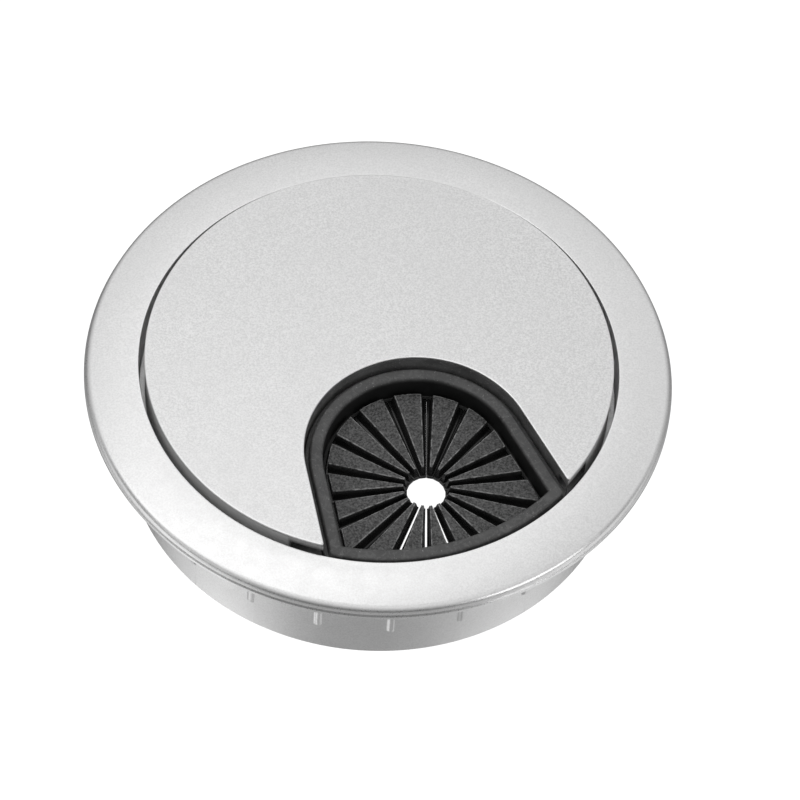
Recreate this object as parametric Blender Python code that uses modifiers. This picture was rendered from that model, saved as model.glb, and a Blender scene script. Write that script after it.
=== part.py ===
"""Desk cable grommet for an 80 mm hole.

A trim ring drops into the desk, a round lid turns in the ring, and a slotted
rubber seal in the lid's cut-out closes round the cables. The seal's petals
bend at their roots, so each petal is a piece of its own on its own fold line.

Frame: +Z up along the ring's axis, origin at the centre of the skirt's foot.
Run with: blender --background --python part.py
"""
import math

import bmesh
import bpy
from mathutils import Matrix, Vector

MM = 0.001

# Trim ring
SEGMENTS = 96
FLANGE_RADIUS = 46.5 * MM
FLANGE_TOP = 22.4 * MM
FLANGE_UNDERSIDE = 19.6 * MM
FLANGE_CROWN = 0.9 * MM
FLANGE_CROWN_STEPS = 4
FLANGE_EDGE_FILLET = 1.3 * MM
FLANGE_FILLET_STEPS = 6
FLANGE_DRAFT = 0.2 * MM
FLANGE_LIP = 0.6 * MM
FLANGE_LIP_CHAMFER = 0.2 * MM
SKIRT_RADIUS = 39.7 * MM
SKIRT_BORE_RADIUS = 37.9 * MM
BORE_CHAMFER = 0.3 * MM
SKIRT_FOOT_CHAMFER = 0.4 * MM
LEDGE_RADIUS = 35.6 * MM
LEDGE_TOP = 15.6 * MM
LEDGE_UNDERSIDE = 14.0 * MM
RIB_COUNT = 22
RIB_WIDTH = 1.0 * MM
RIB_PROUD = 0.4 * MM
RIB_FOOT = 5.9 * MM
RIB_ROOT_DEPTH = 0.8 * MM
RIB_PHASE = 0.93

# Turning lid: a thin cover plate on a moulded carrier
LID_AZIMUTH = math.radians(-67.0)
COVER_RADIUS = 37.0 * MM
COVER_TOP = 23.8 * MM
COVER_THICKNESS = 0.4 * MM
CARRIER_RADIUS = 36.9 * MM
CARRIER_TOP = 23.3 * MM
CARRIER_FOOT = 15.9 * MM
CARRIER_PLATE = 1.6 * MM
CARRIER_WALL = 1.6 * MM
COLLAR_WALL = 1.2 * MM
SHELF_WIDTH = 1.6 * MM
SHELF_TOP = 16.7 * MM
SLOT_LENGTH = 5.2 * MM
SLOT_FOOT = 19.8 * MM
SLOT_TOP = 22.2 * MM
SLOT_AZIMUTH = math.radians(37.0)

# Snap hooks under the lid, caught below the ring's ledge
HOOK_AZIMUTHS = [math.radians(angle) for angle in (80.0, 145.0, 215.0, 280.0)]
HOOK_WIDTH = 8.0 * MM
HOOK_INNER = 33.9 * MM
HOOK_OUTER = 35.1 * MM
HOOK_BARB = 36.3 * MM
HOOK_FOOT = 12.4 * MM
HOOK_GAP = 0.3 * MM
HOOK_FOOT_CHAMFER = 0.2 * MM
HOOK_BARB_HEIGHT = 0.5 * MM

# Cut-out: a round end and two flaring legs, open at the lid's edge
OPENING_CENTRE = 18.8 * MM
OPENING_RADIUS = 18.0 * MM
LEG_FLARE = math.radians(8.3)
OPENING_REACH = 40.0 * MM

# Rubber seal
SEAL_FRONT_RADIUS = 37.2 * MM
SEAL_SIDE_GAP = 0.15 * MM
SEAL_SHOULDER_TOP = 20.8 * MM
SEAL_RIM_OUTSET = 0.92 * MM
SEAL_RIM_INSET = 2.95 * MM
SEAL_RIM_TOP = 22.1 * MM
SEAL_RIM_ROUND = 0.45 * MM
SEAL_SHOULDER_SETBACK = 0.1 * MM
SEAL_FOOT = 16.95 * MM
SEAL_FOOT_STEP = 0.4 * MM
SEAL_FOOT_DRAFT = 0.2 * MM
WEB_INSET = 3.7 * MM
WEB_TOP = 17.6 * MM
WEB_UNDERSIDE = 17.1 * MM
SEAL_CORNER = 1.0 * MM
SHARPEST_CORNER = 0.25 * MM

# Petals of the seal
PETAL_COUNT = 18
PETAL_CENTRE = 22.6 * MM
PETAL_HOLE = 3.0 * MM
PETAL_ROOT_GAP = 0.1 * MM
PETAL_FOLD_UNDERCUT = 0.4 * MM
SLIT_WIDTH = 0.3 * MM
PETAL_FOOT = 17.1 * MM
PETAL_SKIN_TOP = 17.6 * MM
PAD_TOP = 19.4 * MM
PAD_FOOT_APEX = 1.2 * MM
PAD_FOOT_ANGLE = math.radians(9.2)
PAD_TOP_APEX = 2.25 * MM
PAD_TOP_ANGLE = math.radians(7.85)
PAD_FOOT_TIP = 3.15 * MM
PAD_TOP_TIP = 3.7 * MM
PAD_ROOT_DRAFT = 0.05 * MM
PETAL_ROOT_STEPS = 3

MERGE_DISTANCE = 0.00001
JOIN_OVERLAP = 0.5 * MM


def clear_scene():
    """Remove every object, so that the script gives the same scene each run."""
    for item in list(bpy.data.objects):
        bpy.data.objects.remove(item, do_unlink=True)


def make_collection(name, hidden=False):
    """Return a new collection linked to the scene."""
    group = bpy.data.collections.new(name)
    bpy.context.scene.collection.children.link(group)
    group.hide_render = hidden
    return group


def make_material(name, colour, roughness, metallic):
    """Return a Principled material."""
    material = bpy.data.materials.new(name)
    material.use_nodes = True
    shader = material.node_tree.nodes["Principled BSDF"]
    shader.inputs["Base Color"].default_value = (*colour, 1.0)
    shader.inputs["Roughness"].default_value = roughness
    shader.inputs["Metallic"].default_value = metallic
    return material


def satin_chrome(name):
    """Satin chrome lacquer on a moulding, or a satin plate."""
    return make_material(name, (0.74, 0.74, 0.75), 0.38, 0.9)


def black_plastic(name):
    """Spark-eroded black plastic."""
    return make_material(name, (0.03, 0.03, 0.032), 0.5, 0.0)


def black_rubber(name):
    """Soft black rubber."""
    return make_material(name, (0.035, 0.035, 0.037), 0.6, 0.0)


def add_object(name, mesh, collection, material=None):
    """Link a mesh object into a collection."""
    item = bpy.data.objects.new(name, mesh)
    collection.objects.link(item)
    if material is not None:
        mesh.materials.append(material)
    return item


def mesh_from(name, bm):
    """Turn a bmesh into a mesh with outward faces."""
    bmesh.ops.recalc_face_normals(bm, faces=bm.faces)
    mesh = bpy.data.meshes.new(name)
    bm.to_mesh(mesh)
    bm.free()
    return mesh


def shade(mesh, degrees=32.0):
    """Shade smooth apart from the edges sharper than the angle."""
    mesh.shade_smooth()
    mesh.set_sharp_from_angle(angle=math.radians(degrees))


def as_cutter(item):
    """Mark an object as a construction tool."""
    item.hide_render = True
    item.display_type = "WIRE"
    return item


def add_boolean(item, tool, operation):
    """Join or cut an object with a tool."""
    modifier = item.modifiers.new(tool.name, "BOOLEAN")
    modifier.operation = operation
    modifier.object = tool
    modifier.solver = "EXACT"


def rotation_z(angle):
    """A turn about Z."""
    return Matrix.Rotation(angle, 3, "Z")


def arc(centre_x, centre_y, radius, start, end, steps):
    """Points on an arc, both ends included."""
    points = []
    for step in range(steps + 1):
        angle = start + (end - start) * step / steps
        points.append((centre_x + radius * math.cos(angle), centre_y + radius * math.sin(angle)))
    return points


def turned(name, profile, collection, material=None):
    """Turn a closed (radius, height) profile about Z. It runs down its outer side."""
    mesh = bpy.data.meshes.new(name)
    edges = [(index, (index + 1) % len(profile)) for index in range(len(profile))]
    mesh.from_pydata([(radius, 0.0, height) for radius, height in profile], edges, [])
    item = add_object(name, mesh, collection, material)
    screw = item.modifiers.new("turn", "SCREW")
    screw.axis = "Z"
    screw.steps = SEGMENTS
    screw.render_steps = SEGMENTS
    screw.use_merge_vertices = True
    screw.merge_threshold = MERGE_DISTANCE
    screw.use_smooth_shade = True
    return item


def prism(name, outline, low, high, collection):
    """Extrude a flat outline from one height to another, as a mesh."""
    curve = bpy.data.curves.new(name, "CURVE")
    curve.dimensions = "2D"
    curve.fill_mode = "BOTH"
    curve.extrude = (high - low) / 2.0
    spline = curve.splines.new("POLY")
    spline.points.add(len(outline) - 1)
    for point, (x, y) in zip(spline.points, outline):
        point.co = (x, y, 0.0, 1.0)
    spline.use_cyclic_u = True
    guide = bpy.data.objects.new(name + "_curve", curve)
    guide.location.z = (low + high) / 2.0
    collection.objects.link(guide)
    bpy.context.view_layer.update()
    graph = bpy.context.evaluated_depsgraph_get()
    mesh = bpy.data.meshes.new_from_object(guide.evaluated_get(graph))
    matrix = guide.matrix_world.copy()
    bpy.data.objects.remove(guide, do_unlink=True)
    bm = bmesh.new()
    bm.from_mesh(mesh)
    bpy.data.meshes.remove(mesh)
    bmesh.ops.remove_doubles(bm, verts=bm.verts, dist=MERGE_DISTANCE)
    item = add_object(name, mesh_from(name, bm), collection)
    item.matrix_world = matrix
    return item


def opening_outline(inset, front_radius, corner=SEAL_CORNER, arc_steps=28, front_steps=10, corner_steps=4):
    """The cut-out's outline, drawn in by an inset and closed by an arc about the lid's axis.

    It runs counterclockwise from the middle of the -Y front corner. +X points
    from the lid's centre out of the open end.
    """
    radius = OPENING_RADIUS - inset
    side = Vector((-math.sin(LEG_FLARE), math.cos(LEG_FLARE)))
    along = Vector((math.cos(LEG_FLARE), math.sin(LEG_FLARE)))
    centre = Vector((OPENING_CENTRE, 0.0))
    start = centre + side * (radius - corner)
    reach = front_radius - corner
    half = start.dot(along)
    travel = -half + math.sqrt(half * half - start.dot(start) + reach * reach)
    fillet = start + along * travel
    front_angle = math.atan2(fillet.y, fillet.x)
    leg_angle = math.pi / 2.0 + LEG_FLARE
    points = arc(fillet.x, -fillet.y, corner, -leg_angle, -front_angle, corner_steps)
    points += arc(0.0, 0.0, front_radius, -front_angle, front_angle, front_steps)[1:-1]
    points += arc(fillet.x, fillet.y, corner, front_angle, leg_angle, corner_steps)
    points += arc(centre.x, 0.0, radius, leg_angle, 2.0 * math.pi - leg_angle, arc_steps)
    return points


def seal_outline(inset):
    """The seal's outline at an inset from the cut-out. Its front keeps the same wall as its sides."""
    front_radius = SEAL_FRONT_RADIUS - max(inset - SEAL_RIM_OUTSET, 0.0)
    corner = max(SEAL_CORNER - max(inset - SEAL_RIM_OUTSET, 0.0), SHARPEST_CORNER)
    return opening_outline(inset, front_radius, corner)


def cross(a, b):
    """Z component of the cross product of two flat vectors."""
    return a.x * b.y - a.y * b.x


def cast(origin, angle, outline):
    """Where a ray from inside a flat outline meets it."""
    ray = Vector((math.cos(angle), math.sin(angle)))
    best = None
    for index, first in enumerate(outline):
        first = Vector(first)
        edge = Vector(outline[(index + 1) % len(outline)]) - first
        slope = cross(ray, edge)
        if abs(slope) < 1e-15:
            continue
        distance = cross(first - origin, edge) / slope
        share = cross(first - origin, ray) / slope
        if distance > 0.0 and -1e-9 <= share <= 1.0 + 1e-9:
            best = distance if best is None else min(best, distance)
    return origin + ray * best


def flange_crown():
    """The flange's top and rounded edge, from the bore outwards.

    The top is an arc that is level at the bore and falls away to the edge,
    and the edge fillet runs on from it without a kink.
    """
    start = SKIRT_BORE_RADIUS + BORE_CHAMFER
    wall = FLANGE_RADIUS - FLANGE_DRAFT
    span = wall - start
    crown_radius = (span * span + FLANGE_CROWN * FLANGE_CROWN) / (2.0 * FLANGE_CROWN)
    fillet = FLANGE_EDGE_FILLET
    lean = math.asin((span - fillet) / (crown_radius - fillet))
    join = math.pi / 2.0 - lean
    crown_centre = FLANGE_TOP - crown_radius
    fillet_centre = crown_centre + (crown_radius - fillet) * math.cos(lean)
    points = arc(start, crown_centre, crown_radius, math.pi / 2.0, join, FLANGE_CROWN_STEPS)[:-1]
    points += arc(wall - fillet, fillet_centre, fillet, join, 0.0, FLANGE_FILLET_STEPS)
    return points


def build_ring(collection, tools):
    """Trim ring: flange, skirt, grip ribs, and the ledge that carries the lid."""
    profile = [(SKIRT_BORE_RADIUS, FLANGE_TOP - BORE_CHAMFER)]
    profile += flange_crown()
    profile += [
        (FLANGE_RADIUS, FLANGE_UNDERSIDE + FLANGE_LIP),
        (FLANGE_RADIUS, FLANGE_UNDERSIDE + FLANGE_LIP_CHAMFER),
        (FLANGE_RADIUS - FLANGE_LIP_CHAMFER, FLANGE_UNDERSIDE),
        (SKIRT_RADIUS, FLANGE_UNDERSIDE),
        (SKIRT_RADIUS, SKIRT_FOOT_CHAMFER),
        (SKIRT_RADIUS - SKIRT_FOOT_CHAMFER, 0.0),
        (SKIRT_BORE_RADIUS + BORE_CHAMFER, 0.0),
        (SKIRT_BORE_RADIUS, BORE_CHAMFER),
        (SKIRT_BORE_RADIUS, LEDGE_UNDERSIDE),
        (LEDGE_RADIUS, LEDGE_UNDERSIDE),
        (LEDGE_RADIUS, LEDGE_TOP),
        (SKIRT_BORE_RADIUS, LEDGE_TOP),
    ]
    ring = turned("ring", profile, collection, satin_chrome("ring_satin_chrome"))

    bm = bmesh.new()
    root = SKIRT_RADIUS - RIB_ROOT_DEPTH
    tip = SKIRT_RADIUS + RIB_PROUD
    height = FLANGE_UNDERSIDE + JOIN_OVERLAP - RIB_FOOT
    for index in range(RIB_COUNT):
        box = bmesh.ops.create_cube(bm, size=1.0)["verts"]
        bmesh.ops.scale(bm, verts=box, vec=(tip - root, RIB_WIDTH, height))
        bmesh.ops.translate(bm, verts=box, vec=((root + tip) / 2.0, 0.0, RIB_FOOT + height / 2.0))
        turn = 2.0 * math.pi * (index + RIB_PHASE) / RIB_COUNT
        bmesh.ops.rotate(bm, verts=box, cent=(0.0, 0.0, 0.0), matrix=rotation_z(turn))
    ribs = as_cutter(add_object("ribs_tool", mesh_from("ribs_tool", bm), tools))
    add_boolean(ring, ribs, "UNION")


def build_cover(collection, parent, opening):
    """Thin satin cover plate with the horseshoe cut-out."""
    underside = COVER_TOP - COVER_THICKNESS
    cover = make_disc("cover_plate", COVER_RADIUS, underside, COVER_TOP, collection, parent)
    cover.data.materials.append(satin_chrome("cover_satin"))
    add_boolean(cover, opening, "DIFFERENCE")
    shade(cover.data)


def hook_profile():
    """A snap hook's outline as (radius, height)."""
    barb_top = LEDGE_UNDERSIDE - HOOK_GAP
    wall_foot = CARRIER_FOOT + JOIN_OVERLAP
    wall_middle = CARRIER_RADIUS - CARRIER_WALL / 2.0
    plate_middle = CARRIER_TOP - CARRIER_PLATE / 2.0
    return [
        (HOOK_INNER, HOOK_FOOT),
        (HOOK_OUTER - HOOK_FOOT_CHAMFER, HOOK_FOOT),
        (HOOK_BARB, barb_top - HOOK_BARB_HEIGHT),
        (HOOK_BARB, barb_top),
        (HOOK_OUTER, barb_top),
        (HOOK_OUTER, wall_foot),
        (wall_middle, wall_foot),
        (wall_middle, plate_middle),
        (HOOK_INNER, plate_middle),
    ]


def build_hooks(tools, parent):
    """Four snap hooks, joined to the carrier later. Each is a profile extruded across its width."""
    bm = bmesh.new()
    for azimuth in HOOK_AZIMUTHS:
        corners = [bm.verts.new((radius, -HOOK_WIDTH / 2.0, height)) for radius, height in hook_profile()]
        side = bm.faces.new(corners)
        grown = bmesh.ops.extrude_face_region(bm, geom=[side])["geom"]
        moved = [part for part in grown if isinstance(part, bmesh.types.BMVert)]
        bmesh.ops.translate(bm, verts=moved, vec=(0.0, HOOK_WIDTH, 0.0))
        bmesh.ops.rotate(bm, verts=corners + moved, cent=(0.0, 0.0, 0.0), matrix=rotation_z(azimuth))
    hooks = as_cutter(add_object("hooks_tool", mesh_from("hooks_tool", bm), tools))
    hooks.parent = parent
    return hooks


def build_carrier(collection, tools, parent, opening):
    """Moulded lid carrier: top plate, side wall, collar and shelf for the seal, snap hooks."""
    inner = CARRIER_RADIUS - CARRIER_WALL
    wall_middle = CARRIER_RADIUS - CARRIER_WALL / 2.0
    ceiling = CARRIER_TOP - CARRIER_PLATE
    plate_middle = CARRIER_TOP - CARRIER_PLATE / 2.0
    carrier = turned(
        "lid_carrier",
        [
            (CARRIER_RADIUS, CARRIER_TOP),
            (CARRIER_RADIUS, CARRIER_FOOT),
            (inner, CARRIER_FOOT),
            (inner, ceiling),
        ],
        collection,
        black_plastic("carrier_black"),
    )
    carrier.parent = parent
    core = as_cutter(make_disc("plate_tool", wall_middle, ceiling, CARRIER_TOP, tools, parent))
    collar_outline = opening_outline(-COLLAR_WALL, wall_middle)
    collar = as_cutter(prism("collar_tool", collar_outline, CARRIER_FOOT, plate_middle, tools))
    collar.parent = parent
    hooks = build_hooks(tools, parent)
    shelf_outline = opening_outline(SHELF_WIDTH, inner)
    shelf = as_cutter(prism("shelf_tool", shelf_outline, CARRIER_FOOT - MM, SHELF_TOP + MM, tools))
    shelf.parent = parent
    slots = build_slots(tools, parent)
    add_boolean(carrier, core, "UNION")
    add_boolean(carrier, collar, "UNION")
    add_boolean(carrier, hooks, "UNION")
    add_boolean(carrier, opening, "DIFFERENCE")
    add_boolean(carrier, shelf, "DIFFERENCE")
    add_boolean(carrier, slots, "DIFFERENCE")


def make_disc(name, radius, low, high, collection, parent):
    """A plain round disc between two heights."""
    bm = bmesh.new()
    depth = high - low
    bmesh.ops.create_cone(bm, cap_ends=True, segments=SEGMENTS, radius1=radius, radius2=radius, depth=depth)
    bmesh.ops.translate(bm, verts=bm.verts, vec=(0.0, 0.0, (low + high) / 2.0))
    disc = add_object(name, mesh_from(name, bm), collection)
    disc.parent = parent
    return disc


def build_slots(tools, parent):
    """Windows through the carrier's side wall beside the seal's front corners."""
    bm = bmesh.new()
    depth = 3.0 * CARRIER_WALL
    for side in (-1.0, 1.0):
        box = bmesh.ops.create_cube(bm, size=1.0)["verts"]
        bmesh.ops.scale(bm, verts=box, vec=(depth, SLOT_LENGTH, SLOT_TOP - SLOT_FOOT))
        bmesh.ops.translate(bm, verts=box, vec=(CARRIER_RADIUS, 0.0, (SLOT_TOP + SLOT_FOOT) / 2.0))
        bmesh.ops.rotate(bm, verts=box, cent=(0.0, 0.0, 0.0), matrix=rotation_z(side * SLOT_AZIMUTH))
    slots = as_cutter(add_object("slots_tool", mesh_from("slots_tool", bm), tools))
    slots.parent = parent
    return slots


def seal_section():
    """The seal's wall, as (inset, height), once round."""
    top = SEAL_RIM_TOP
    turn = SEAL_RIM_ROUND
    outer = arc(SEAL_RIM_OUTSET + turn, top - turn, turn, math.pi, math.pi / 2.0, 3)
    inner = arc(SEAL_RIM_INSET - turn, top - turn, turn, math.pi / 2.0, 0.0, 3)
    foot_step = SEAL_RIM_INSET - SEAL_FOOT_STEP
    section = [(SEAL_SIDE_GAP, SEAL_FOOT), (SEAL_SIDE_GAP, SEAL_SHOULDER_TOP)]
    section += [(SEAL_RIM_OUTSET - SEAL_SHOULDER_SETBACK, SEAL_SHOULDER_TOP)]
    section += outer + inner
    section += [(SEAL_RIM_INSET, WEB_TOP), (WEB_INSET, WEB_TOP), (WEB_INSET, WEB_UNDERSIDE)]
    section += [(foot_step, WEB_UNDERSIDE), (foot_step - SEAL_FOOT_DRAFT, SEAL_FOOT)]
    return section


def build_seal_rim(collection, parent):
    """Rubber rim of the seal, lofted round the cut-out's outline at each of its insets."""
    bm = bmesh.new()
    loops = []
    for inset, height in seal_section():
        loops.append([bm.verts.new((x, y, height)) for x, y in seal_outline(inset)])
    count = len(loops[0])
    for index, loop in enumerate(loops):
        following = loops[(index + 1) % len(loops)]
        for step in range(count):
            after = (step + 1) % count
            bm.faces.new((loop[step], loop[after], following[after], following[step]))
    mesh = mesh_from("seal_rim", bm)
    shade(mesh)
    rim = add_object("seal_rim", mesh, collection, black_rubber("seal_rubber"))
    rim.parent = parent


def petal_layer(centre, middle, apex, half_angle, tip, outline):
    """One level of a petal: two tip points, then the root's points along the outline."""
    heading = Vector((math.cos(middle), math.sin(middle)))
    side = Vector((-heading.y, heading.x))
    origin = centre + heading * apex
    half_tip = (tip - apex) * math.tan(half_angle)
    points = [centre + heading * tip + side * half_tip, centre + heading * tip - side * half_tip]
    for step in range(PETAL_ROOT_STEPS + 1):
        angle = middle - half_angle + 2.0 * half_angle * step / PETAL_ROOT_STEPS
        points.append(cast(origin, angle, outline))
    return points


def petal_layers(middle):
    """The petal's levels from its foot to the top of its pad, each with its height.

    The root leans in towards the foot, so that its lower edge clears the rim as the petal bends.
    """
    centre = Vector((PETAL_CENTRE, 0.0))
    half = math.pi / PETAL_COUNT
    slit_apex = SLIT_WIDTH / 2.0 / math.sin(half)
    root = seal_outline(WEB_INSET + PETAL_ROOT_GAP)
    foot_root = seal_outline(WEB_INSET + PETAL_ROOT_GAP + PETAL_FOLD_UNDERCUT)
    pad_root = seal_outline(WEB_INSET + PETAL_ROOT_GAP + PAD_ROOT_DRAFT)
    skin_foot = petal_layer(centre, middle, slit_apex, half, PETAL_HOLE, foot_root)
    skin_top = petal_layer(centre, middle, slit_apex, half, PETAL_HOLE, root)
    pad_foot = petal_layer(centre, middle, PAD_FOOT_APEX, PAD_FOOT_ANGLE, PAD_FOOT_TIP, pad_root)
    pad_top = petal_layer(centre, middle, PAD_TOP_APEX, PAD_TOP_ANGLE, PAD_TOP_TIP, pad_root)
    return [
        (skin_foot, PETAL_FOOT),
        (skin_top, PETAL_SKIN_TOP),
        (pad_foot, PETAL_SKIN_TOP),
        (pad_top, PAD_TOP),
    ]


def fold_point(middle, skin_top):
    """Where the petal's fold crosses its middle line: level with the nearest end of its root."""
    centre = Vector((PETAL_CENTRE, 0.0))
    heading = Vector((math.cos(middle), math.sin(middle)))
    nearest = min((point - centre).dot(heading) for point in skin_top[2:])
    return centre + heading * nearest


def build_petal(index, collection, parent, material):
    """A petal: a thin skin with a raised pad, hinged at its root.

    Its own +X points from the fold to the tip, and its own +Y is the fold line,
    so turning it by a positive angle about +Y pushes the tip down.
    """
    middle = 2.0 * math.pi * (index + 0.5) / PETAL_COUNT
    layers = petal_layers(middle)
    fold = fold_point(middle, layers[1][0])
    fold_height = (PETAL_FOOT + PETAL_SKIN_TOP) / 2.0
    facing = middle + math.pi
    ahead = Vector((math.cos(facing), math.sin(facing)))
    left = Vector((-ahead.y, ahead.x))
    bm = bmesh.new()
    rings = []
    for points, height in layers:
        ring = []
        for point in points:
            away = point - fold
            ring.append(bm.verts.new((away.dot(ahead), away.dot(left), height - fold_height)))
        rings.append(ring)
    count = len(rings[0])
    for low, high in zip(rings, rings[1:]):
        for step in range(count):
            after = (step + 1) % count
            bm.faces.new((low[step], low[after], high[after], high[step]))
    bm.faces.new(rings[0])
    bm.faces.new(rings[-1])
    name = f"seal_petal_{index + 1:02d}"
    mesh = mesh_from(name, bm)
    shade(mesh)
    petal = add_object(name, mesh, collection, material)
    petal.parent = parent
    petal.location = (fold.x, fold.y, fold_height)
    petal.rotation_euler.z = facing


def build_grommet():
    """Build every piece."""
    clear_scene()
    pieces = make_collection("desk_grommet")
    tools = make_collection("construction_tools", hidden=True)
    lid_turn = bpy.data.objects.new("lid_turn_axis", None)
    lid_turn.rotation_euler.z = LID_AZIMUTH
    pieces.objects.link(lid_turn)
    opening_shape = opening_outline(0.0, OPENING_REACH)
    opening = as_cutter(prism("opening_tool", opening_shape, SHELF_TOP, COVER_TOP + MM, tools))
    opening.parent = lid_turn
    build_ring(pieces, tools)
    build_cover(pieces, lid_turn, opening)
    build_carrier(pieces, tools, lid_turn, opening)
    build_seal_rim(pieces, lid_turn)
    for index in range(PETAL_COUNT):
        build_petal(index, pieces, lid_turn, black_rubber(f"petal_rubber_{index + 1:02d}"))


build_grommet()
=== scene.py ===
import math

import bmesh
import bpy
from mathutils import Matrix, Vector


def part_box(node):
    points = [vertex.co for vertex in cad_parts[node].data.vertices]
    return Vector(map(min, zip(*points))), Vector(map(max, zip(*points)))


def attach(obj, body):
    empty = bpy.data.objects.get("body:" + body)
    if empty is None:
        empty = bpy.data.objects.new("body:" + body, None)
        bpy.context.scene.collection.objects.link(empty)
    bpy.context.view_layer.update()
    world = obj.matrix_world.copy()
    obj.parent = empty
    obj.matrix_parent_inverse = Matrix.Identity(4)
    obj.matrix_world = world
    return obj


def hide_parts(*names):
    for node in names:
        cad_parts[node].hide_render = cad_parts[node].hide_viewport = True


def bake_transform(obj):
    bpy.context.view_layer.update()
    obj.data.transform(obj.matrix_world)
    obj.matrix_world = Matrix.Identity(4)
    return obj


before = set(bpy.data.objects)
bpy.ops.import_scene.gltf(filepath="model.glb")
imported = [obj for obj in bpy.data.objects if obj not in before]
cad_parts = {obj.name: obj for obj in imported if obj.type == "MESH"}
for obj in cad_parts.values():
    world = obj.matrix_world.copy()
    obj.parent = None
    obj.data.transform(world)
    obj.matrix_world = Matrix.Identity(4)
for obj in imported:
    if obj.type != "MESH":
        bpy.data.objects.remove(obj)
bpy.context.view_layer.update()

MM = 0.001

# Meshing: steps along each arc, and how close counts as touching or parallel
CLEAN_REACH = 0.002 * MM
SHARP_ANGLE = math.radians(40.0)
PETAL_SHARP_ANGLE = math.radians(60.0)
FLAT_FACE_WEIGHT = 60
CROWN_STEPS = 10
EDGE_FILLET_STEPS = 14
RING_CORNER_STEPS = 5
HOOK_CORNER_STEPS = 4
SEAL_CORNER_STEPS = 6
CUT_OUT_STEPS = 84
CUT_OUT_FRONT_STEPS = 40
CUT_OUT_CORNER_STEPS = 8
LID_RIM_STEPS = 200
LID_CORNER_STEPS = 5
STEPS_BETWEEN_RIBS = 8
PARALLEL = 1e-15
SLACK = 1e-9

# Heights and outer radii come from the frame
RING_LOW, RING_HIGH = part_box("ring")
COVER_LOW, COVER_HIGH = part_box("cover_plate")
CARRIER_LOW, CARRIER_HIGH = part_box("lid_carrier")
RIM_LOW, RIM_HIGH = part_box("seal_rim")
PETAL_LOW, PETAL_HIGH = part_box("seal_petal_01")

# Trim ring
FLANGE_RADIUS = RING_HIGH.x
FLANGE_TOP = RING_HIGH.z
FLANGE_UNDERSIDE = 19.6 * MM
FLANGE_CROWN = 0.9 * MM
FLANGE_DRAFT = 0.2 * MM
FLANGE_FILLET = 1.3 * MM
FLANGE_LIP = 0.6 * MM
LIP_STEP_ABOVE = 0.25 * MM
LIP_STEP_BELOW = 0.05 * MM
SKIRT_RADIUS = 39.7 * MM
# Heights of the skirt's rows in mm, close together at the ribs' feet
SKIRT_ROWS = (19.0, 12.0, 6.9, 6.4, 6.25, 6.1, 5.95, 5.8, 5.6)
BORE_RADIUS = 37.9 * MM
BORE_MARGIN = 0.3 * MM
LEDGE_RADIUS = 35.6 * MM
LEDGE_TOP = 15.6 * MM
LEDGE_UNDERSIDE = 14.0 * MM
RIB_COUNT = 22
RIB_PHASE = 0.93
RIB_WIDTH = 1.0 * MM
RIB_PROUD = 0.4 * MM
RIB_FOOT = 5.9 * MM
# Across a rib in half rib widths: the ring's columns, the gentle flank and the steep flank
RIB_COLUMNS = (-1.5, -1.4, -1.15, -0.9, -0.65, -0.4, -0.1, 0.3, 0.7, 0.82, 0.95, 1.08, 1.2, 1.3)
RIB_GENTLE_FLANK = (-1.4, -0.1)
RIB_STEEP_FLANK = (0.7, 1.2)

# Lid
LID_AZIMUTH = math.radians(-67.0)
COVER_RADIUS = 37.0 * MM
COVER_CORNER = 0.35 * MM
CARRIER_RADIUS = 36.9 * MM
CARRIER_CORNER = 0.15 * MM
CARRIER_EDGE = 0.1 * MM
CARRIER_OUTER_ROWS = 6
CARRIER_FOOT = 15.9 * MM
CARRIER_PLATE = 1.6 * MM
CARRIER_WALL = 1.6 * MM
COLLAR_WALL = 1.2 * MM
SHELF_WIDTH = 1.6 * MM
SHELF_TOP = 16.7 * MM
SHELF_CORNER = 0.5 * MM
SLOT_LENGTH = 5.2 * MM
SLOT_FOOT = 19.8 * MM
SLOT_TOP = 22.2 * MM
SLOT_AZIMUTH = math.radians(37.0)
HOOK_AZIMUTHS = [math.radians(angle) for angle in (80.0, 145.0, 215.0, 280.0)]
HOOK_WIDTH = 8.0 * MM
HOOK_INNER = 33.9 * MM
HOOK_OUTER = 35.1 * MM
HOOK_BARB = 36.3 * MM
HOOK_FOOT = CARRIER_LOW.z
HOOK_BARB_TOP = 13.7 * MM

# Cut-out
OPENING_CENTRE = 18.8 * MM
OPENING_RADIUS = 18.0 * MM
LEG_FLARE = math.radians(8.3)

# Seal
SEAL_FRONT_RADIUS = 37.2 * MM
SEAL_SIDE_GAP = 0.15 * MM
SEAL_SHOULDER_TOP = 20.8 * MM
SEAL_RIM_OUTSET = 0.92 * MM
SEAL_RIM_INSET = 2.95 * MM
SEAL_RIM_ROUND = 0.45 * MM
SEAL_FOOT_STEP = 0.4 * MM
SEAL_FOOT_DRAFT = 0.2 * MM
SEAL_WELL_DEPTH = 0.9 * MM
SEAL_CORNER = 1.0 * MM
SHARPEST_CORNER = 0.25 * MM
WEB_INSET = 3.7 * MM
WEB_TOP = 17.6 * MM
WEB_UNDERSIDE = PETAL_LOW.z

# Petals
PETAL_COUNT = 18
PETAL_CENTRE = 22.6 * MM
PETAL_HOLE = 3.0 * MM
SLIT_CLOSED = 0.03 * MM
SLIT_OPENED = 0.32 * MM
OPENED_TOWARDS = math.radians(-10.0)
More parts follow.
